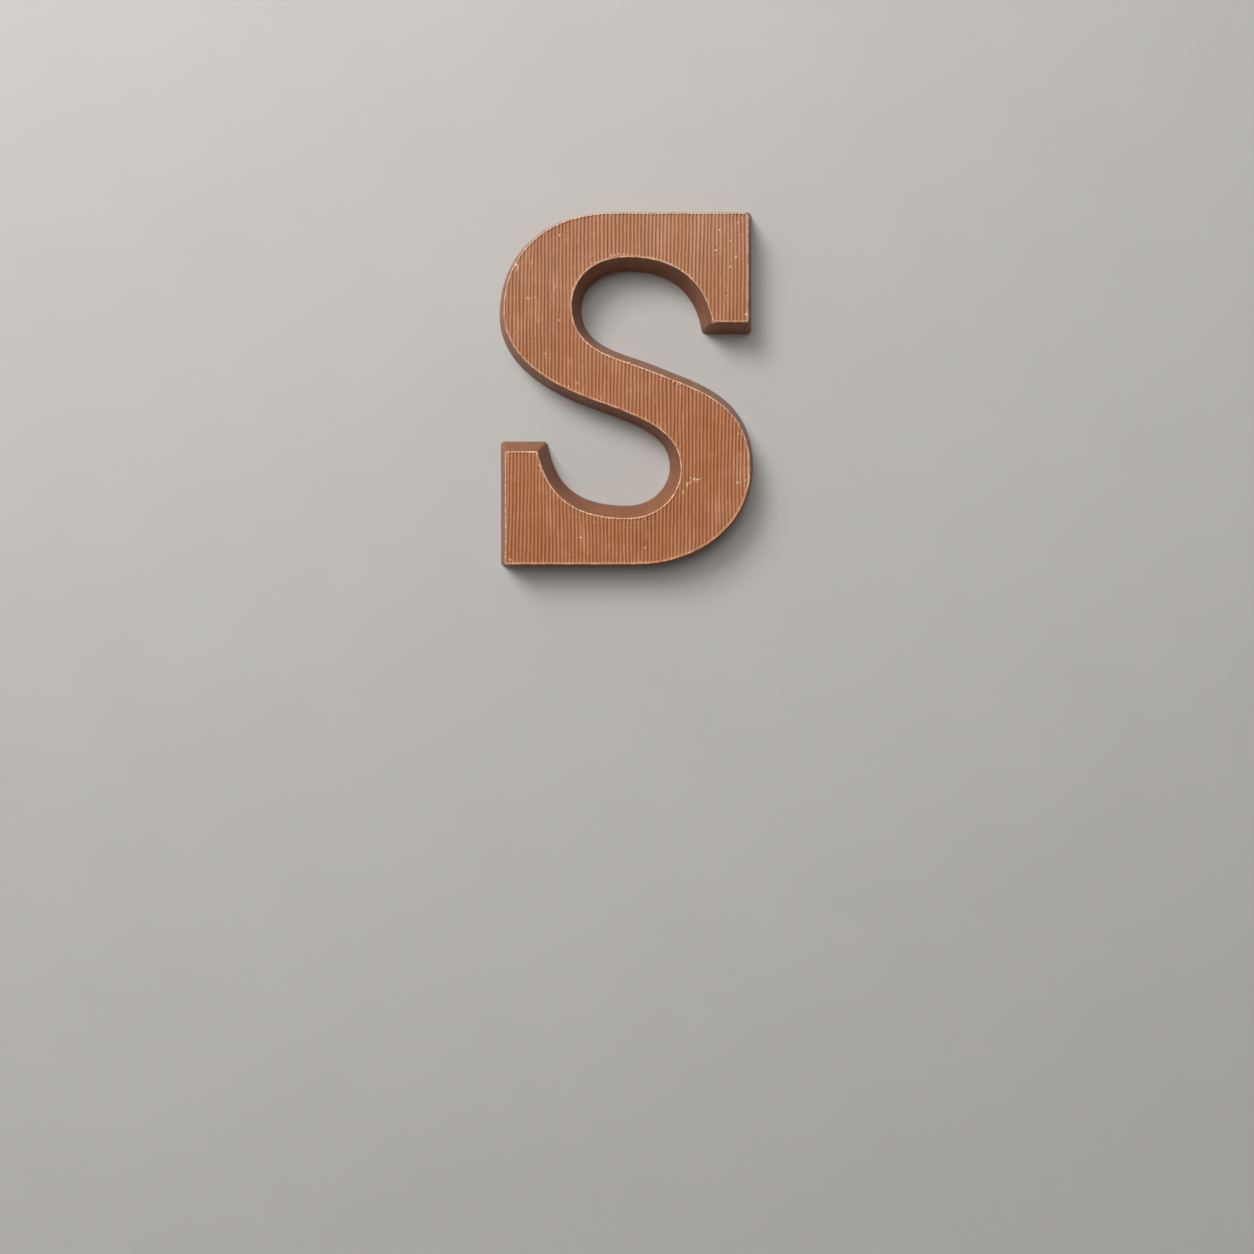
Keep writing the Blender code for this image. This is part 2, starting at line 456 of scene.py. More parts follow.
def marks_of_wear() -> list[Blemish]:
    """The pits, scratches and scuffs that the face shows.

    Returns:
        The marks, in the order in which they are worked in.
    """
    # Kind, x, y, length, width and depth in millimetres, and angle
    rows = [
        # Pits in the upper right, with a slanting smear
        (Mark.PIT, 26.6, 41.9, 0.75, 0.6, 0.22),
        (Mark.PIT, 26.5, 40.6, 0.6, 0.5, 0.16),
        (Mark.PIT, 29.5, 28.2, 0.8, 0.5, 0.16),
        (Mark.PIT, 29.9, 27.2, 0.6, 0.5, 0.14),
        (Mark.SCRATCH, 32.4, 39.3, 1.5, 0.5, 0.1, 50.0),
        (Mark.BRIDGE, 33.9, 44.6, 0.7, 0.8),
        (Mark.BRIDGE, 29.2, 43.0, 7.0, 0.9),
        (Mark.BRIDGE, 30.8, 39.0, 6.0, 0.8),
        (Mark.BRIDGE, 34.5, 50.3, 2.2, 2.2),
        # Rubs on the left of the upper bowl
        (Mark.SCUFF, -21.3, 30.0, 3.4, 0.55, 0.03, 68.0),
        (Mark.SCUFF, -22.2, 27.4, 1.6, 0.5, 0.02, 80.0),
        (Mark.BRIDGE, -28.3, 22.0, 7.5, 0.9),
        (Mark.SCUFF, -33.0, 35.2, 2.2, 0.8, 0.02, 60.0),
        (Mark.SCUFF, -28.5, 37.5, 3.0, 0.5, 0.02, 75.0),
        # Scuffs at the left end of the diagonal
        (Mark.SCUFF, -14.5, 1.2, 1.8, 0.6, 0.02, 80.0),
        (Mark.SCUFF, -12.6, -0.6, 2.0, 0.5, 0.02, 65.0),
        (Mark.SCUFF, -24.3, 10.2, 2.4, 0.5, 0.02, 95.0),
        # Scratches in the lower bowl
        (Mark.SCRATCH, 20.9, -27.2, 3.4, 0.62, 0.1, 8.0),
        (Mark.SCRATCH, 20.3, -26.8, 1.3, 0.5, 0.08, 88.0),
        (Mark.SCRATCH, 19.0, -28.0, 2.8, 0.6, 0.09, 50.0),
        (Mark.SCRATCH, 18.0, -28.9, 2.2, 0.65, 0.09, 100.0),
        (Mark.SCRATCH, 16.9, -31.0, 1.9, 0.7, 0.08, 75.0),
        # A pit over the lower edge, and rubs on either side of the lower counter
        (Mark.PIT, 5.3, -46.9, 0.75, 0.55, 0.16),
        (Mark.SCUFF, 31.5, -20.6, 2.5, 0.5, 0.02, 82.0),
        (Mark.SCUFF, -23.5, -36.5, 3.0, 0.6, 0.02, 100.0),
        # A rough patch at the lower left corner
        (Mark.PIT, -34.7, -49.5, 0.9, 0.7, 0.2),
        (Mark.PIT, -34.6, -50.9, 0.8, 0.8, 0.2),
        (Mark.BRIDGE, -34.9, -51.3, 2.4, 1.5),
    ]
    return [Blemish(kind, *(size * MM for size in sizes[:5]), *sizes[5:]) for kind, *sizes in rows]


@dataclass
class Flutes:
    """The upright flutes of the face: broad rounded crests and narrower grooves."""

    pitch: float = 73.6 / 67 * MM
    depth: float = 0.34 * MM
    groove_sharpness: float = 1.15
    lean: float = 0.55 * MM
    drift: float = 0.13 * MM
    kinks: float = 0.05 * MM
    depth_change: float = 0.35
    width_change: float = 0.3
    merged_from: float = 0.72
    merged_share: float = 0.5
    crest_lumps: float = 0.016 * MM
    rim_end: float = 0.36 * MM
    full_depth_at: float = 0.62 * MM
    field_drop: float = 0.02 * MM
    # Tones of the face's paleness: the crests are paler than the grooves, partly as wear and partly as
    # painted highlight on the crests and painted shade in the grooves
    groove_tone: float = 0.33
    crest_wear_and_highlight_tone: float = 0.4
    streak_tone: float = 0.09
    patch_tone: float = 0.03
    rim_tone: float = 0.76
    rim_crest_tone: float = 0.15
    rim_patch_tone: float = 0.17
    rim_tone_reach: Pair = (0.26 * MM, 0.42 * MM)
    crest_paleness_fall: float = 1.7

    def shift(self, x: Array, y: Array) -> Array:
        """How far the flutes wander sideways from straight, even lines.

        Args:
            x: The points' x.
            y: The points' y.

        Returns:
            The sideways distance at each point.
        """
        seed = Randomness.FLUTE_DRIFT.value
        slow = smooth_noise(x, y, (17.0 * MM, 25.0 * MM), seed)
        middle = smooth_noise(x, y, (2.3 * MM, 9.0 * MM), seed + 1)
        quick = smooth_noise(x, y, (1.1 * MM, 2.8 * MM), seed + 2)
        return self.lean * slow + self.drift * middle + self.kinks * quick

    def groove(self, across: Array, sharpness: Array) -> Array:
        """How far each place lies down the flute's section: 0 on a crest, 1 in a groove."""
        wave = 0.5 + 0.5 * np.cos(2.0 * math.pi * across / self.pitch)
        return wave**sharpness

    def relief(self, across: Array, y: Array, inset: Array) -> tuple[Array, Array]:
        """The height of the fluted face over its rim.

        Args:
            across: The points' place across the flutes, as if these ran straight.
            y: Their place along the flutes.
            inset: Their distance in from the face's outline.

        Returns:
            The height, and how deep in a groove each point is, from 0 to 1.
        """
        fade = smooth_step(inset, self.rim_end, self.full_depth_at)
        seed = Randomness.FLUTE_DEPTH.value
        uneven = smooth_noise(across, y, (self.pitch, 6.0 * MM), seed)
        broad = smooth_noise(across, y, (14.0 * MM, 18.0 * MM), seed + 1)
        width = smooth_noise(across, y, (self.pitch, 8.0 * MM), seed + 2)
        merged = smooth_noise(across, y, (self.pitch, 4.0 * MM), seed + 3)
        merged = smooth_step(merged, self.merged_from, 1.0)
        lumps = smooth_noise(across, y, (0.55 * MM, 3.0 * MM), Randomness.CREST_LUMPS.value)
        low = self.groove(across, self.groove_sharpness * (1.0 + self.width_change * width))
        low = low * fade * (1.0 - self.merged_share * merged)
        depth = self.depth * (1.0 + self.depth_change * (0.6 * uneven + 0.5 * broad))
        height = -depth * low - self.field_drop * fade + self.crest_lumps * lumps * fade
        return height, low

    def paleness(self, across: Array, y: Array, inset: Array, low: Array) -> Array:
        """How pale the face is: the crests are paler than the grooves, partly rubbed and partly painted
        highlight, with painted shade in the grooves; the rim is rubbed.

        Args:
            across: The points' place across the flutes.
            y: Their place along the flutes.
            inset: Their distance in from the face's outline.
            low: How deep in a groove each is.

        Returns:
            The paleness from 0 to 1.
        """
        seed = Randomness.CREST_TONE.value
        streaks = smooth_noise(across, y, (self.pitch, 9.0 * MM), seed)
        patches = smooth_noise(across, y, (9.0 * MM, 12.0 * MM), seed + 1)
        # Painted light: the crests are paler than the grooves, partly wear and partly painted highlight on
        # the crests and painted shade in the grooves
        wear_and_painted_highlight = (1.0 - low) ** self.crest_paleness_fall
        tone = self.groove_tone + self.crest_wear_and_highlight_tone * wear_and_painted_highlight
        tone = tone + self.streak_tone * streaks * wear_and_painted_highlight + self.patch_tone * patches
        at_rim = 1.0 - smooth_step(inset, *self.rim_tone_reach)
        return tone * (1.0 - at_rim) + self.rim_wear(across, y) * at_rim

    def rim_wear(self, across: Array, y: Array) -> Array:
        """How pale the rim is, the most where a crest runs into it.

        Args:
            across: The points' place across the flutes.
            y: Their place along the flutes.

        Returns:
            The paleness from 0 to 1.
        """
        crest = 1.0 - self.groove(across, np.ones_like(across))
        patchy = smooth_noise(across, y, (0.8 * MM, 0.8 * MM), Randomness.EDGE_WEAR.value)
        return self.rim_tone + self.rim_crest_tone * crest + self.rim_patch_tone * patchy


@dataclass
class SurfaceShape:
    """Vertices, faces and painted paleness of a surface while it is put together."""

    points: list[Array] = field(default_factory=list)
    pale: list[Array] = field(default_factory=list)
    faces: list[Array] = field(default_factory=list)
    count: int = 0

    def add(self, points: Array, pale: Array) -> int:
        """Adds vertices.

        Args:
            points: Their places, one row each.
            pale: How pale the chocolate is at each.

        Returns:
            The index of the first of them.
        """
        first = self.count
        self.points.append(points)
        self.pale.append(pale)
        self.count += len(points)
        return first

    def band(self, lower: int, upper: int, count: int) -> None:
        """Joins two rings of count vertices each by quads that look outwards."""
        here = np.arange(count)
        ahead = (here + 1) % count
        self.faces.append(np.stack([lower + here, lower + ahead, upper + ahead, upper + here], axis=1))

    def patch(self, corners: Array, edge_count: int, edge_first: int, inner_first: int) -> None:
        """Adds triangles inside a ring, whose corners count its vertices first, then the inner ones."""
        inner = corners - edge_count + inner_first
        self.faces.append(np.where(corners < edge_count, corners + edge_first, inner))

    def mesh(self, name: str, nicks: list[Nick]) -> Mesh:
        """The finished mesh with its paleness.

        Args:
            name: The mesh's name.
            nicks: The cuts at its corners and edges.

        Returns:
            The mesh, shaded smooth.
        """
        points, pale = np.concatenate(self.points), np.concatenate(self.pale)
        for nick in nicks:
            points, pale = nick.cut(points, pale)
        made = bpy.data.meshes.new(name)
        faces = [row for block in self.faces for row in block.tolist()]
        made.from_pydata(points.tolist(), [], faces)
        layer = made.attributes.new(PALENESS, "FLOAT", "POINT")
        layer.data.foreach_set("value", pale.astype(np.float32))
        made.update()
        made.validate()
        made.shade_smooth()
        return made


@dataclass
class MouldedLetter:
    """The letter itself: fluted face, smooth rim, leaning walls and poured back."""

    outline: LetterOutline = field(default_factory=LetterOutline)
    flutes: Flutes = field(default_factory=Flutes)
    blemishes: list[Blemish] = field(default_factory=marks_of_wear)
    thickness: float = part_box(LETTER_NODE)[1][2]
    back_spread: float = 2.6 * MM
    back_edge: float = 0.22 * MM
    front_edge: float = 0.27 * MM
    front_corner: float = 0.75 * MM
    back_corner: float = 1.3 * MM
    ring_step: float = 0.36 * MM
    loop_step: float = 0.15 * MM
    end_loops: tuple[float, ...] = (0.44 * MM, 0.54 * MM, 0.68 * MM)
    loop_gap: float = 0.12 * MM
    rim_corner: float = 0.35 * MM
    field_corner: float = 0.3 * MM
    back_levels: int = 2
    wall_levels: int = 9
    levels_crowd: float = 1.6
    edge_levels: int = 4
    row_step: float = 0.6 * MM
    columns_in_a_flute: int = 8
    inset_step: float = 0.1 * MM
    least_inset: float = 0.41 * MM
    mark_edge: float = 0.1
    wall_tone: float = 0.13
    settle_start: float = 0.5 * MM
    settle_end: float = 3.2 * MM
    back_step: float = 1.6 * MM
    back_margin: float = 1.2 * MM
    back_swell: float = 0.05 * MM

    def nicks(self) -> list[Nick]:
        """The knocked corners and edges.

        Returns:
            The planes that cut them.
        """
        top = self.thickness
        return [
            Nick((35.7 * MM, 51.85 * MM, top), (0.66, 0.66, 0.36)),
            Nick((-36.0 * MM, -52.2 * MM, top), (-0.62, -0.5, 0.6)),
            Nick((25.95 * MM, 20.3 * MM, top), (-0.5, -0.7, 0.55)),
        ]

    def wall_spread(self, height: float) -> float:
        """How far the leaning wall stands outside the face's outline at this height."""
        return self.back_spread * (1.0 - height / self.thickness)

    def _sections(self) -> list[Triple]:
        """The heights, spreads and corner radii of the rings from the back up to the rim.

        Returns:
            One (height, spread, radius) for each ring, the lowest first.
        """
        sections = []
        for step in range(self.back_levels + 1):
            angle = math.pi / 2 * step / self.back_levels
            height = self.back_edge * (1.0 - math.cos(angle))
            spread = self.wall_spread(height) - self.back_edge * (1.0 - math.sin(angle))
            sections.append((height, spread, self.back_corner))
        shoulder = self.thickness - self.front_edge
        for step in range(1, self.wall_levels):
            share = 1.0 - (1.0 - step / self.wall_levels) ** self.levels_crowd
            height = self.back_edge + share * (shoulder - self.back_edge)
            radius = self.back_corner + share * (self.front_corner - self.back_corner)
            sections.append((height, self.wall_spread(height), radius))
        for step in range(self.edge_levels + 1):
            angle = math.pi / 2 * step / self.edge_levels
            drawn_in = self.front_edge * (1.0 - math.cos(angle))
            height = shoulder + self.front_edge * math.sin(angle)
            sections.append((height, self.wall_spread(shoulder) - drawn_in, self.front_corner - drawn_in))
        return sections

    def build(self) -> Object:
        """Builds the whole letter as one closed mesh.

        Returns:
            The letter's object, linked to the scene.
        """
        shape = SurfaceShape()
        firsts, rings = [], []
        for height, spread, radius in self._sections():
            ring = self.outline.ring(spread, radius, self.ring_step)
            points = self._wall_points(ring, height)
            firsts.append(shape.add(points, self._edge_wear(ring, height)))
            rings.append(points)
        for lower, upper in zip(firsts, firsts[1:]):
            shape.band(lower, upper, len(rings[0]))
        self._add_face(shape, firsts[-1], rings[-1])
        self._add_back(shape, firsts[0], rings[0])
        name = LETTER_NODE + "_dressed"
        return placed(name, shape.mesh(name, self.nicks()))

    def dress(self, letter: Object, finish: Material) -> None:
        """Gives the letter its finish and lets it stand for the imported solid.

        Args:
            letter: The letter's object.
            finish: Its material.
        """
        letter.data.materials.append(finish)
        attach(letter, "root")
        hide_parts(LETTER_NODE)

    def _wall_points(self, ring: Ring, height: float) -> Array:
        """The vertices of one ring, with the wall's faint unevenness.

        Args:
            ring: The ring in the plane.
            height: Its height over the back.

        Returns:
            The vertices, one row each.
        """
        along = np.roll(ring.points, -1, axis=0) - np.roll(ring.points, 1, axis=0)
        along /= np.linalg.norm(along, axis=1, keepdims=True)
        normal = np.stack([along[:, 1], -along[:, 0]], axis=1)
        rise = np.full(len(ring.points), height)
        seed = Randomness.WALL_DENTS.value
        broad = smooth_noise(ring.travel, rise, (9.0 * MM, 5.0 * MM), seed)
        fine = smooth_noise(ring.travel, rise, (1.4 * MM, 1.1 * MM), seed + 1)
        chips = smooth_step(smooth_noise(ring.travel, rise * 0.0, (0.6 * MM, MM), seed + 2), 0.5, 0.9)
        chips = chips * smooth_step(rise, self.thickness - 1.2 * self.front_edge, self.thickness)
        # In millimetres
        dent = 0.03 * broad + 0.012 * fine - 0.12 * chips
        places = ring.points + normal * (dent * MM)[:, None]
        return np.column_stack([places, rise - 0.05 * MM * chips])

    def _edge_wear(self, ring: Ring, height: float) -> Array:
        """How pale the rubbed edge is round one ring.

        Args:
            ring: The ring in the plane.
            height: Its height over the back.

        Returns:
            The paleness of its points, which below the edge is the wall's own.
        """
        low, high = self.thickness - 0.95 * self.front_edge, self.thickness - 0.35 * self.front_edge
        near = float(smooth_step(np.array(height), low, high))
        x, y = ring.points[:, 0], ring.points[:, 1]
        paleness_level = self.flutes.rim_wear(x - self.flutes.shift(x, y), y)
        return self.wall_tone + near * (paleness_level - self.wall_tone)

    @staticmethod
    def _columns_within(loop: Array, columns: Array, row_step: float) -> Array:
        """Points inside a closed loop, in upright columns.

        Args:
            loop: The loop's points.
            columns: The x of each column.
            row_step: The spacing of the points in a column.

        Returns:
            The points, one row each.
        """
        ends = np.roll(loop, -1, axis=0)
        places = []
        for x in columns:
            hit = (loop[:, 0] < x) != (ends[:, 0] < x)
            start, end = loop[hit], ends[hit]
            share = (x - start[:, 0]) / (end[:, 0] - start[:, 0])
            crossings = np.sort(start[:, 1] + share * (end[:, 1] - start[:, 1]))
            for low, high in zip(crossings[0::2], crossings[1::2]):
                rows = np.arange(math.ceil(low / row_step), math.floor(high / row_step) + 1)
                places.append(np.column_stack([np.full(len(rows), x), rows * row_step]))
        return np.concatenate(places)

    def _face_grid(self) -> Array:
        """The points of the fluted field, in columns that follow the flutes.

        Close loops of points run round it where the grooves end at the rim.

        Returns:
            The points, one row each.
        """
        outline, corner = self.outline, self.field_corner
        loops = [outline.ring(-inset, corner, self.loop_step).points for inset in self.end_loops]
        limit = outline.ring(-self.end_loops[-1] - self.loop_gap, corner, self.ring_step).points
        last = (round(outline.width / self.flutes.pitch / 2) + 1) * self.columns_in_a_flute
        columns = np.arange(-last, last + 1) * (self.flutes.pitch / self.columns_in_a_flute)
        return np.concatenate([*loops, self._columns_within(limit, columns, self.row_step)])

    def _insets(self, points: Array) -> Array:
        """The distance of each point from the face's outline.

        Args:
            points: The points, one row each.

        Returns:
            Their distances.
        """
        loop = self.outline.ring(0.0, self.front_corner, self.inset_step).points
        tree = KDTree(len(loop))
        for index, (x, y) in enumerate(loop):
            tree.insert((x, y, 0.0), index)
        tree.balance()
        return np.array([tree.find((x, y, 0.0))[2] for x, y in points])

    def _with_fine_marks(self, grid: Array) -> Array:
        """The grid with close points at the marks, and without the coarse ones there.

        Args:
            grid: The field's points.

        Returns:
            The joined points.
        """
        joined = [grid]
        for blemish in self.blemishes:
            if blemish.kind in (Mark.PIT, Mark.SCRATCH):
                joined[0] = joined[0][blemish.weight(joined[0][:, 0], joined[0][:, 1]) < self.mark_edge]
                joined.append(blemish.fine_points())
        points = np.concatenate(joined)
        return points[self._insets(points) > self.least_inset]

    def _fill(self, boundary: Array, inner: Array, edges: list[tuple[int, int]]) -> Array:
        """Triangles inside a closed boundary, through the inner points.

        Args:
            boundary: The boundary's points in order.
            inner: The points inside it.
            edges: Edges that the triangles have to keep, as pairs of indices.

        Returns:
            The corners of each triangle: boundary points first, then the inner ones.
        """
        flat = np.concatenate([boundary[:, :2], inner]) / MM
        loop = [list(range(len(boundary)))]
        inside_only = 1
        filled = delaunay_2d_cdt([Vector(p) for p in flat], edges, loop, inside_only, 1e-6)
        kept = np.array([sources[0] for sources in filled[3]])
        return kept[np.array(filled[2])]

    def _add_face(self, shape: SurfaceShape, edge_first: int, edge: Array) -> None:
        """Fills the face inside the rounded edge, with its rim and flutes.

        Args:
            shape: The surface that the face is added to.
            edge_first: The index of the edge ring's first vertex.
            edge: The edge ring's vertices.
        """
        rim = self.outline.ring(-self.flutes.rim_end, self.rim_corner, self.ring_step).points
        inner = np.concatenate([rim, self._with_fine_marks(self._face_grid())])
        count = len(edge)
        rim_edges = [(count + k, count + (k + 1) % len(rim)) for k in range(len(rim))]
        corners = self._fill(edge, inner, rim_edges)
        inset = self._insets(inner)
        settled = smooth_step(inset, self.settle_start, self.settle_end)
        wander = self.flutes.shift(inner[:, 0], inner[:, 1])
        x, y = inner[:, 0] + settled * wander, inner[:, 1]
        across = inner[:, 0] - (1.0 - settled) * wander
        height, low = self.flutes.relief(across, y, inset)
        pale = self.flutes.paleness(across, y, inset, low)
        for blemish in self.blemishes:
            height, pale = self._marked(blemish, inner[:, 0], y, height, pale)
        first = shape.add(np.column_stack([x, y, self.thickness + height]), pale)
        shape.patch(corners, count, edge_first, first)

    def _marked(
        self, blemish: Blemish, x: Array, y: Array, height: Array, pale: Array
    ) -> tuple[Array, Array]:
        """Works one mark into the face.

        Args:
            blemish: The mark.
            x: The vertices' x.
            y: The vertices' y.
            height: Their height over the rim.
            pale: How pale they are.

        Returns:
            The new heights and paleness.
        """
        weight, damage = blemish.weight(x, y), blemish.kind.value
        level = damage.level * self.flutes.depth
        height = height * (1.0 - damage.levelling * weight) + damage.levelling * level * weight
        pale = pale * (1.0 - damage.fading * weight) + damage.tone * weight
        return height - blemish.depth * weight, pale

    def _add_back(self, shape: SurfaceShape, edge_first: int, edge: Array) -> None:
        """Fills the back, which was the open side when the letter was poured.

        Args:
            shape: The surface that the back is added to.
            edge_first: The index of the back ring's first vertex.
            edge: The back ring's vertices.
        """
        spread = self.back_spread - self.back_margin
        limit = self.outline.ring(spread, self.back_corner, self.ring_step).points
        reach = self.outline.width / 2 + self.back_spread
        inner = self._columns_within(limit, np.arange(-reach, reach, self.back_step), self.back_step)
        corners = self._fill(edge, inner, [])[:, ::-1]
        seed = Randomness.BACK_SWELL.value
        swell = smooth_noise(inner[:, 0], inner[:, 1], (11.0 * MM, 9.0 * MM), seed)
        height = self.back_swell * (1.0 + swell)
        first = shape.add(np.column_stack([inner, height]), np.full(len(inner), self.wall_tone))
        shape.patch(corners, len(edge), edge_first, first)


@dataclass(frozen=True)
class CrumbSpot:
    """A crumb that lies on the letter: its place seen from above and its size across."""

    x: float
    y: float
    size: float


def crumbs_that_show() -> list[CrumbSpot]:
    """The larger crumbs, each at its own place on the face, the rim or a wall.

    Returns:
        The crumbs' places and sizes.
    """
    # A crumb's rough mesh comes out smaller than the ball that it is made from
    enlarged = 1.25
    spots = [
        # Upper bowl, left
        (-20.1, 45.8, 0.65), (-32.9, 36.7, 0.9), (-32.6, 35.9, 0.5), (-29.5, 27.0, 0.5), (-27.4, 27.3, 0.5),
        (-20.3, 20.4, 0.5), (-29.2, 13.9, 0.45), (-28.6, 26.9, 0.3), (-33.4, 16.4, 0.4),
        # Upper bowl, along the counter's rim
        (-4.6, 39.6, 0.7), (-3.5, 39.8, 0.6), (-2.4, 40.0, 0.65), (-1.2, 40.1, 0.45), (0.2, 40.1, 0.5),
        (1.6, 40.1, 0.35), (-9.2, 37.6, 0.45), (-10.4, 37.4, 0.4), (-12.9, 34.4, 0.4), (4.2, 40.4, 0.35),
        # Upper right
        (27.8, 47.3, 0.5), (33.2, 49.6, 0.5), (34.1, 45.8, 0.4), (26.6, 41.2, 0.55), (32.6, 39.4, 0.45),
        (30.9, 36.3, 0.5), (29.7, 27.6, 0.4), (35.7, 22.2, 0.6), (31.0, 44.2, 0.35),
        # Diagonal
        (-14.6, 1.6, 0.6), (-10.4, 6.9, 0.35), (0.7, 7.6, 0.65), (13.9, 1.9, 0.5), (15.3, 1.2, 0.4),
        (20.3, 2.2, 0.4), (-17.4, 0.6, 0.4), (-24.2, 10.4, 0.35),
        # Lower bowl and lower terminal
        (33.3, -13.6, 0.6), (35.5, -27.4, 0.85), (33.2, -28.2, 0.55), (20.0, -27.1, 0.4), (16.8, -30.9, 0.55),
        (18.1, -28.4, 0.5), (19.1, -26.8, 0.45), (21.8, -27.1, 0.35), (36.6, -15.2, 0.55), (7.4, -13.9, 0.5),
        (8.3, -14.3, 0.45), (35.6, -24.0, 0.35), (-13.7, -44.6, 0.55), (5.4, -47.6, 0.5), (5.3, -38.9, 0.4),
        (-26.2, -22.9, 0.4), (-25.7, -24.5, 0.35), (-34.7, -51.2, 0.6), (-34.2, -51.9, 0.4),
        (4.0, -51.9, 0.5), (-17.1, -38.2, 0.35), (-9.6, -39.9, 0.35),
    ]
    return [CrumbSpot(x * MM, y * MM, enlarged * size * MM) for x, y, size in spots]


@dataclass(frozen=True)
class CrumbBand:
    """Fine crumbs along the outline: how many, and the band's edges outside it."""

    count: int
    nearest: float
    furthest: float


@dataclass
class Crumbs:
    """Crumbs and shavings of chocolate that cling to the letter, joined into one mesh."""

    letter: MouldedLetter
    spots: list[CrumbSpot] = field(default_factory=crumbs_that_show)
    rim: CrumbBand = CrumbBand(130, -0.5, 0.1)
    face: CrumbBand = CrumbBand(90, -9.0, -0.8)
    walls: CrumbBand = CrumbBand(26, 0.4, 2.4)
    sizes: Pair = (0.1 * MM, 0.25 * MM)
    deepest_ring: float = -3.0 * MM
    ring_corner: float = 0.3 * MM
    ring_step: float = 0.9 * MM
    stray: float = 0.4
    dropped_from: float = 0.05
    lifted: float = 0.1

    def scattered(self) -> list[CrumbSpot]:
        """Draws the places of the finer crumbs.

        Returns:
            Their places and sizes.
        """
        draw = np.random.default_rng(Randomness.CRUMB_PLACE.value)
        spots = []
        for band in (self.rim, self.face, self.walls):
            for _ in range(band.count):
                spread = draw.uniform(band.nearest, band.furthest) * MM
                depth = max(spread, self.deepest_ring)
                ring = self.letter.outline.ring(depth, self.ring_corner, self.ring_step)
                x, y = ring.points[draw.integers(len(ring.points))]
                if spread < self.face.furthest * MM:
                    x += draw.uniform(-self.stray, self.stray) * MM
                spots.append(CrumbSpot(float(x), float(y), float(draw.uniform(*self.sizes))))
        return spots

    def build(self, carrier: Object) -> Object:
        """Lays every crumb on the letter under it.

        Args:
            carrier: The letter's object.

        Returns:
            The crumbs' object, linked to the scene.
        """
        draw = np.random.default_rng(Randomness.CRUMB_SHAPE.value)
        vertices = [vertex.co for vertex in carrier.data.vertices]
        ground = BVHTree.FromPolygons(vertices, [face.vertices for face in carrier.data.polygons])
        down = Vector((0.0, 0.0, -1.0))
        sheet = bmesh.new()
        for spot in [*self.spots, *self.scattered()]:
            place, normal, _, _ = ground.ray_cast(Vector((spot.x, spot.y, self.dropped_from)), down)
            if place is None:
                continue
            turn = normal.to_track_quat("Z", "Y").to_matrix().to_4x4()
            spin = Matrix.Rotation(draw.uniform(0.0, 2.0 * math.pi), 4, "Z")
            length, width, height = draw.uniform(0.8, 1.4), draw.uniform(0.65, 1.0), draw.uniform(0.35, 0.6)
            shape = Matrix.Diagonal((length, width, height, 1.0))
            centre = Matrix.Translation(place + normal * (self.lifted * spot.size))
            made = bmesh.ops.create_icosphere(sheet, subdivisions=1, radius=spot.size / 2)
            for vertex in made["verts"]:
                vertex.co *= draw.uniform(0.6, 1.25)
            bmesh.ops.transform(sheet, matrix=centre @ turn @ spin @ shape, verts=made["verts"])
        return placed("chocolate_crumbs", mesh_of("chocolate_crumbs", sheet))

    @staticmethod
    def dress(crumbs: Object, finish: Material) -> None:
        """Gives the crumbs their finish and lets them ride with the letter.

        Args:
            crumbs: The crumbs' object.
            finish: Their material.
        """
        crumbs.data.materials.append(finish)
        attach(crumbs, "root")


@dataclass(frozen=True)
class Cloud:
    """Cloudy noise in a material.

    It has so many cells in a metre and so many finer layers, or cells stretched along
    each axis. The middle of its range is used, spread over a span where it has one.
    """

    scale: float
    detail: float
    span: Pair = (0.0, 1.0)
    used: Pair = (0.3, 0.7)
    stretch: Triple | None = None


@dataclass(frozen=True)
class Relief:
    """Fine relief in the shading: its noise, how high it stands and how much is used."""

    cloud: Cloud
    distance: float
    strength: float


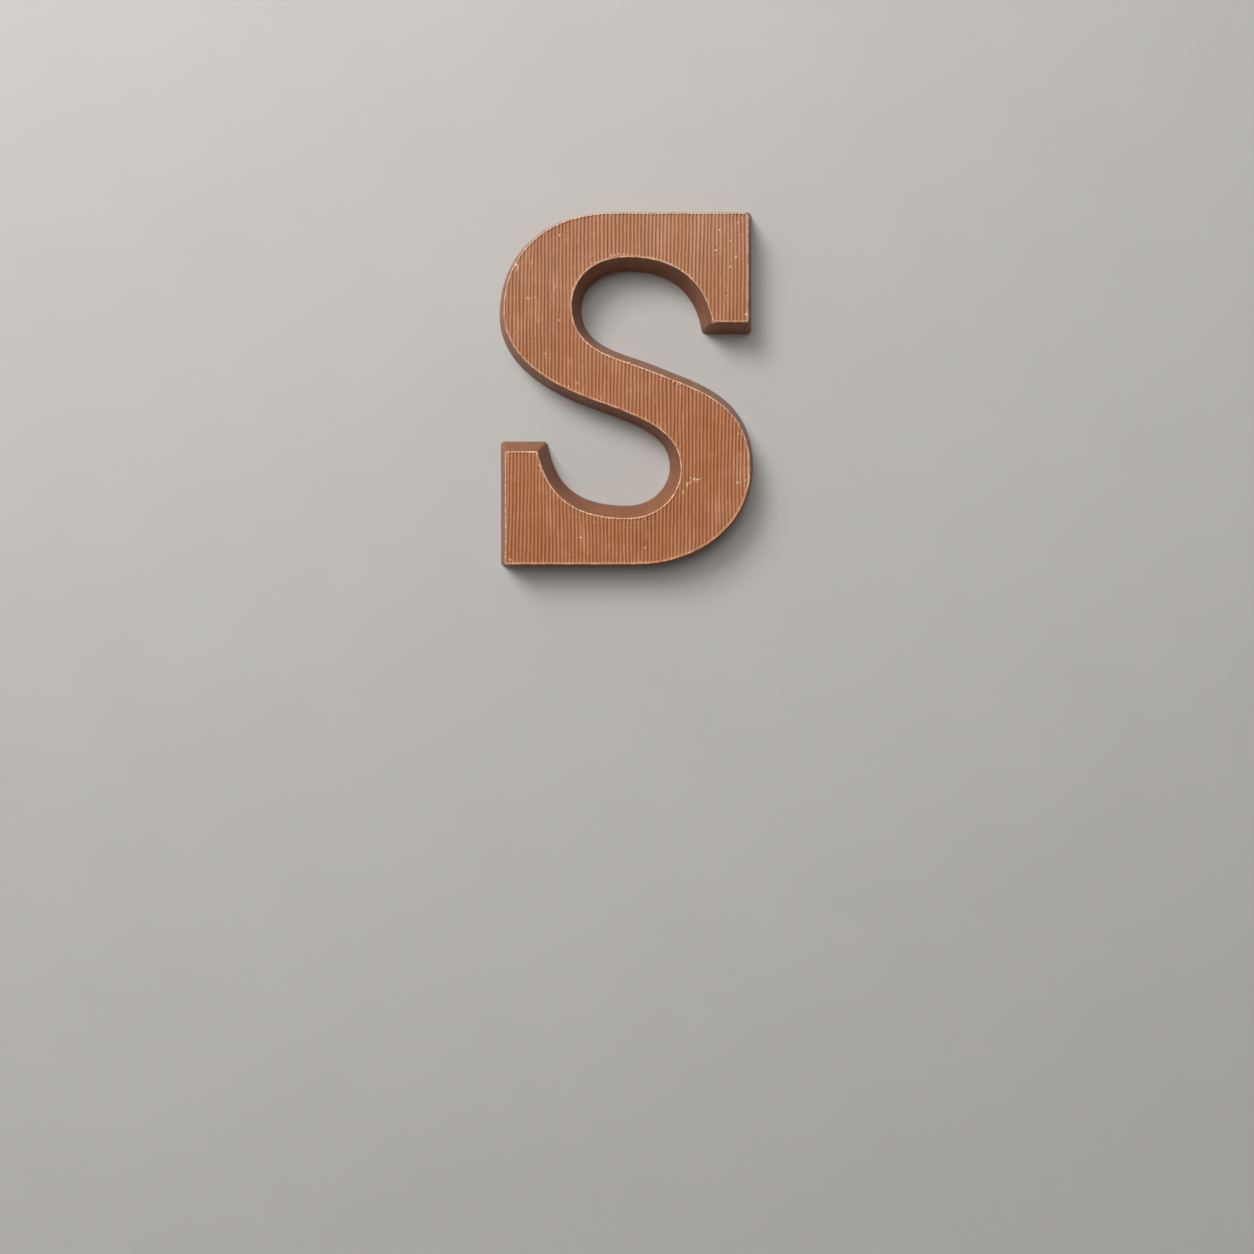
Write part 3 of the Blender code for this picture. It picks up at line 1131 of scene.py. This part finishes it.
class NodeBench:
    """A material's node tree with short ways to add and wire nodes."""

    def __init__(self, name: str) -> None:
        """Starts a material with its shader.

        Args:
            name: The material's name.
        """
        self.material = bpy.data.materials.new(name)
        self.material.use_nodes = True
        self.tree = self.material.node_tree
        self.shader = self.tree.nodes["Principled BSDF"]
        self.place = self.add("TexCoord").outputs["Object"]

    def fill(self, node: Node, **inputs: Input) -> Node:
        """Sets or wires a node's inputs.

        Args:
            node: The node.
            inputs: A value or another node's output for each input, named with _ for a space.

        Returns:
            The node.
        """
        for name, given in inputs.items():
            socket = node.inputs[name.replace("_", " ")]
            if isinstance(given, NodeSocket):
                self.tree.links.new(given, socket)
            else:
                socket.default_value = given
        return node

    def add(self, kind: str, **inputs: Input) -> Node:
        """Adds a node of this kind, with its inputs filled."""
        return self.fill(self.tree.nodes.new("ShaderNode" + kind), **inputs)

    def noise(self, cloud: Cloud) -> NodeSocket:
        """The bare value of cloudy noise.

        Args:
            cloud: The noise.

        Returns:
            Its value from 0 to 1.
        """
        place = self.place
        if cloud.stretch:
            place = self.add("Mapping", Vector=place, Scale=cloud.stretch).outputs["Vector"]
        return self.add("TexNoise", Vector=place, Scale=cloud.scale, Detail=cloud.detail).outputs["Fac"]

    def spread(self, cloud: Cloud) -> NodeSocket:
        """Cloudy noise, spread over its span."""
        return self.mapped(self.noise(cloud), cloud.used, cloud.span)

    def mapped(self, value: NodeSocket, source: Pair, target: Pair) -> NodeSocket:
        """A value moved from the source's range to the target's, held at its ends."""
        ends = {"From_Min": source[0], "From_Max": source[1], "To_Min": target[0], "To_Max": target[1]}
        return self.add("MapRange", Value=value, **ends).outputs["Result"]

    def _joined(self, operation: str, values: tuple[NodeSocket, ...]) -> NodeSocket:
        """Joins values one after another.

        Args:
            operation: What the Math node does.
            values: The values.

        Returns:
            The result.
        """
        result = values[0]
        for value in values[1:]:
            node = self.add("Math")
            node.operation = operation
            self.tree.links.new(result, node.inputs[0])
            self.tree.links.new(value, node.inputs[1])
            result = node.outputs["Value"]
        return result

    def sum(self, *values: NodeSocket) -> NodeSocket:
        """The values added."""
        return self._joined("ADD", values)

    def product(self, *values: NodeSocket) -> NodeSocket:
        """The values multiplied."""
        return self._joined("MULTIPLY", values)

    def ramp(self, value: NodeSocket, stops: list[tuple[float, Triple]]) -> NodeSocket:
        """A colour for each value.

        Args:
            value: The value.
            stops: The colours and the values where they stand, in rising order.

        Returns:
            The colour.
        """
        scale = self.add("ValToRGB", Fac=value)
        elements = scale.color_ramp.elements
        while len(elements) < len(stops):
            elements.new(0.5)
        for element, (position, colour) in zip(elements, stops):
            element.position = position
            element.color = (*colour, 1.0)
        return scale.outputs["Color"]

    def veiled(self, colour: NodeSocket, share: NodeSocket, veil: Triple) -> NodeSocket:
        """A colour with a share of another one mixed in."""
        return self.add("MixRGB", Fac=share, Color1=colour, Color2=(*veil, 1.0)).outputs["Color"]

    def relief(self, *layers: Relief, over: NodeSocket | None = None) -> NodeSocket:
        """Fine relief in the shading.

        Args:
            layers: The layers, the lowest first.
            over: The normal of what they lie on, if there is something.

        Returns:
            The normal.
        """
        for layer in layers:
            below = {"Normal": over} if over else {}
            height = self.noise(layer.cloud)
            bump = self.add("Bump", Height=height, Distance=layer.distance, Strength=layer.strength, **below)
            over = bump.outputs["Normal"]
        return over


@dataclass(frozen=True)
class MilkChocolate:
    """Milk chocolate out of a mould: satin, and paler where it is rubbed, with painted highlight on the
    crests, painted shade in the grooves, bubbles and pits, and a painted sheen towards the top.
    """

    # The darkest colour: the flow lines on the walls, and the painted shade in the bubbles and pits
    flow_lines_and_painted_shade: Triple = (0.21, 0.078, 0.034)
    moulded: Triple = (0.265, 0.1, 0.044)
    # The grooves' and crests' colours differ partly by wear and partly by painted light: painted shade in the
    # grooves, painted highlight on the crests
    in_grooves: Triple = (0.37, 0.136, 0.056)
    on_crests: Triple = (0.547, 0.252, 0.136)
    # The palest colour: the rubbed rim and scratches, and the painted highlights and glints on the crests
    wear_and_painted_highlight: Triple = (0.95, 0.63, 0.44)
    # Painted sheen: a grey veil mixed into the paler places, rising towards the top of the letter, a painted
    # reflection of the overhead light
    painted_sheen: Triple = (0.48, 0.47, 0.47)
    painted_sheen_at_the_top: float = 0.15
    painted_sheen_rises: Pair = (-12.0 * MM, 34.0 * MM)
    sheen: float = 0.26
    sheen_tint: Triple = (1.0, 0.74, 0.52)
    gloss: Cloud = Cloud(260.0, 6.0, (0.33, 0.48))
    mottle: Cloud = Cloud(230.0, 7.0, (-0.05, 0.05))
    grain: Cloud = Cloud(2400.0, 3.0, (-0.04, 0.04))
    flow: Cloud = Cloud(1.0, 3.0, (-0.035, 0.035), stretch=(45.0, 45.0, 900.0))
    # Painted glints: sparse pale specks on the paler places, painted highlights on the crests
    painted_glints: Cloud = Cloud(1.0, 1.0, (0.0, 0.32), (0.66, 0.74), (2300.0, 1300.0, 2300.0))
    # Air bubbles: small hollows in the shading's bumps, painted darker as painted shade in them
    bubbles: float = 210.0
    bubble_edge: Pair = (0.025, 0.06)
    bubble_painted_shade: float = -0.3
    bubble_depth: float = 0.12 * MM
    bubble_strength: float = 0.8
    drawn: Relief = Relief(Cloud(1.0, 3.0, stretch=(80.0, 80.0, 2000.0)), 0.05 * MM, 0.5)
    waves: Relief = Relief(Cloud(420.0, 3.0), 0.1 * MM, 0.5)
    fine: Relief = Relief(Cloud(3000.0, 2.0), 0.012 * MM, 0.5)

    def material(self) -> Material:
        """Builds the material's nodes.

        Returns:
            The material.
        """
        bench = NodeBench("milk_chocolate")
        # The paleness carries wear and also painted light: painted highlight on the crests and painted shade
        # in the grooves
        paleness_level = bench.add("Attribute")
        paleness_level.attribute_name = PALENESS
        paleness_level = paleness_level.outputs["Fac"]
        cells = bench.add("TexVoronoi", Scale=self.bubbles, Vector=bench.place).outputs["Distance"]
        bubble = bench.mapped(cells, self.bubble_edge, (1.0, 0.0))
        # Painted shade: the bubbles' hollows are painted darker
        bubble_painted_shade = bench.mapped(bubble, (0.0, 1.0), (0.0, self.bubble_painted_shade))
        clouds = [bench.spread(cloud) for cloud in (self.mottle, self.grain, self.flow)]
        tone = bench.sum(paleness_level, *clouds, bench.product(bench.spread(self.painted_glints), paleness_level), bubble_painted_shade)
        stops = [
            (0.0, self.flow_lines_and_painted_shade),
            (0.13, self.moulded),
            (0.3, self.in_grooves),
            (0.72, self.on_crests),
            (1.0, self.wear_and_painted_highlight),
        ]
        y = bench.add("SeparateXYZ", Vector=bench.place).outputs["Y"]
        # Painted sheen: the grey veil's share rises towards the top and follows the paleness
        painted_sheen = bench.product(bench.mapped(y, self.painted_sheen_rises, (0.0, self.painted_sheen_at_the_top)), paleness_level)
        hollow = bench.add(
            "Bump",
            Height=bench.mapped(bubble, (0.0, 1.0), (1.0, 0.0)),
            Distance=self.bubble_depth,
            Strength=self.bubble_strength,
        )
        bench.fill(
            bench.shader,
            Base_Color=bench.veiled(bench.ramp(tone, stops), painted_sheen, self.painted_sheen),
            Roughness=bench.spread(self.gloss),
            Normal=bench.relief(self.drawn, self.waves, self.fine, over=hollow.outputs["Normal"]),
            IOR=1.45,
            Specular_IOR_Level=self.sheen,
            Specular_Tint=(*self.sheen_tint, 1.0),
        )
        return bench.material


@dataclass(frozen=True)
class BrokenChocolate:
    """Milk chocolate where it broke: dull and pale, as on a crumb or a shaving."""

    shaded: Triple = (0.76, 0.52, 0.36)
    bright: Triple = (0.99, 0.87, 0.74)
    roughness: float = 0.62
    tone: Cloud = Cloud(900.0, 4.0, used=(0.35, 0.65))
    grit: Relief = Relief(Cloud(6000.0, 2.0), 0.03 * MM, 0.6)

    def material(self) -> Material:
        """Builds the material's nodes.

        Returns:
            The material.
        """
        bench = NodeBench("broken_chocolate")
        colour = bench.ramp(bench.spread(self.tone), [(0.0, self.shaded), (1.0, self.bright)])
        grit = bench.relief(self.grit)
        bench.fill(bench.shader, Base_Color=colour, Normal=grit, Roughness=self.roughness, IOR=1.45)
        return bench.material


@dataclass(frozen=True)
class PalePaper:
    """Matt pale paper."""

    shaded: Triple = (0.548, 0.543, 0.533)
    bright: Triple = (0.56, 0.555, 0.545)
    roughness: float = 0.9
    sheen: float = 0.2
    tone: Cloud = Cloud(30.0, 5.0)

    def material(self) -> Material:
        """Builds the material's nodes.

        Returns:
            The material.
        """
        bench = NodeBench("pale_paper")
        darkest, lightest = self.tone.used
        colour = bench.ramp(bench.noise(self.tone), [(darkest, self.shaded), (lightest, self.bright)])
        bench.fill(bench.shader, Base_Color=colour, Roughness=self.roughness, Specular_IOR_Level=self.sheen)
        return bench.material


@dataclass(frozen=True)
class Softbox:
    """A rectangular soft light that points at the letter."""

    name: str
    place: Triple
    size: Pair
    power: float
    colour: Triple = (1.0, 0.98, 0.95)

    def hang(self) -> None:
        """Adds the light to the scene."""
        data = bpy.data.lights.new(self.name, "AREA")
        data.shape = "RECTANGLE"
        data.size, data.size_y = self.size
        data.energy = self.power
        data.color = self.colour
        lamp = placed(self.name, data)
        lamp.location = self.place
        lamp.rotation_mode = "QUATERNION"
        lamp.rotation_quaternion = (-Vector(self.place)).to_track_quat("-Z", "Y")


@dataclass
class Studio:
    """The pale paper, the soft lights and the camera that looks straight down."""

    picture_side: float = 1254.0
    letter_pixels: float = 351.7
    letter_middle: Pair = (626.85, 388.45)
    below_the_lens: Pair = (611.4, 409.8)
    lens_over_face: float = 246.0 * MM
    sensor: float = 36.0
    sees_from: float = 0.01
    sees_to: float = 10.0
    paper_level: float = -0.02 * MM
    paper_middle: float = 0.25
    paper_flat: float = 0.4
    paper_bend: float = 1.15
    paper_top: float = 2.0
    paper_bend_steps: int = 12
    paper_sides: int = 96
    from_the_upper_left: Softbox = Softbox("light_from_the_upper_left", (-0.6, 0.82, 0.82), (0.6, 0.5), 12.9)
    overhead: Softbox = Softbox("light_overhead", (-0.22, 0.5, 1.08), (0.85, 0.5), 5.9)
    room_colour: Triple = (1.0, 0.98, 0.95)
    room_strength: float = 0.03

    def build_camera(self, letter: MouldedLetter) -> None:
        """Places the camera over the letter at the photograph's viewing angle.

        Args:
            letter: The letter that it looks at.
        """
        scale = letter.outline.height / self.letter_pixels
        data = bpy.data.cameras.new("camera")
        data.sensor_width = self.sensor
        data.lens = self.sensor * self.lens_over_face / (scale * self.picture_side)
        middle = self.picture_side / 2
        data.shift_x = (middle - self.below_the_lens[0]) / self.picture_side
        data.shift_y = (self.below_the_lens[1] - middle) / self.picture_side
        data.clip_start, data.clip_end = self.sees_from, self.sees_to
        x = (self.below_the_lens[0] - self.letter_middle[0]) * scale
        y = (self.letter_middle[1] - self.below_the_lens[1]) * scale
        camera = placed("camera", data)
        camera.location = (x, y, letter.thickness + self.lens_over_face)
        bpy.context.scene.camera = camera

    def build_paper(self) -> Object:
        """The pale paper that the letter lies on, bent up all round far behind it.

        Returns:
            The paper's object.
        """
        profile = [(0.0, self.paper_level), (self.paper_middle, self.paper_level)]
        for step in range(self.paper_bend_steps + 1):
            angle = math.pi / 2 * step / self.paper_bend_steps
            radius = self.paper_flat + self.paper_bend * math.sin(angle)
            profile.append((radius, self.paper_level + self.paper_bend * (1.0 - math.cos(angle))))
        profile.append((self.paper_flat + self.paper_bend, self.paper_top))
        sheet = bmesh.new()
        line = [sheet.verts.new((x, 0.0, z)) for x, z in profile]
        edges = [sheet.edges.new(pair) for pair in zip(line, line[1:])]
        turn = {"cent": (0, 0, 0), "axis": (0, 0, 1), "angle": 2 * math.pi, "steps": self.paper_sides}
        bmesh.ops.spin(sheet, geom=[*line, *edges], **turn)
        bmesh.ops.remove_doubles(sheet, verts=sheet.verts, dist=0.01 * MM)
        bmesh.ops.recalc_face_normals(sheet, faces=sheet.faces)
        mesh = mesh_of("studio_paper", sheet)
        mesh.shade_smooth()
        mesh.materials.append(PalePaper().material())
        return placed("studio_paper", mesh)

    def build_lights(self) -> None:
        """Hangs the soft lights and sets the dim surroundings."""
        self.from_the_upper_left.hang()
        self.overhead.hang()
        world = bpy.data.worlds.new("studio")
        world.use_nodes = True
        sky = world.node_tree.nodes["Background"]
        sky.inputs["Color"].default_value = (*self.room_colour, 1.0)
        sky.inputs["Strength"].default_value = self.room_strength
        bpy.context.scene.world = world
        bpy.context.scene.view_settings.view_transform = "Standard"


def report(piece: Object) -> None:
    """Logs a piece with its size in triangles."""
    piece.data.calc_loop_triangles()
    log.info("%s: %d triangles", piece.name, len(piece.data.loop_triangles))


def main() -> None:
    """Builds the letter, its crumbs and the studio round it."""
    logging.basicConfig(level=logging.INFO, stream=sys.stdout, format="%(message)s")
    letter = MouldedLetter()
    letter_piece = letter.build()
    letter.dress(letter_piece, MilkChocolate().material())
    report(letter_piece)

    crumbs = Crumbs(letter)
    crumbs_piece = crumbs.build(letter_piece)
    crumbs.dress(crumbs_piece, BrokenChocolate().material())
    report(crumbs_piece)

    studio = Studio()
    studio.build_camera(letter)
    paper = studio.build_paper()
    studio.build_lights()
    report(paper)


if __name__ == "__main__":
    main()
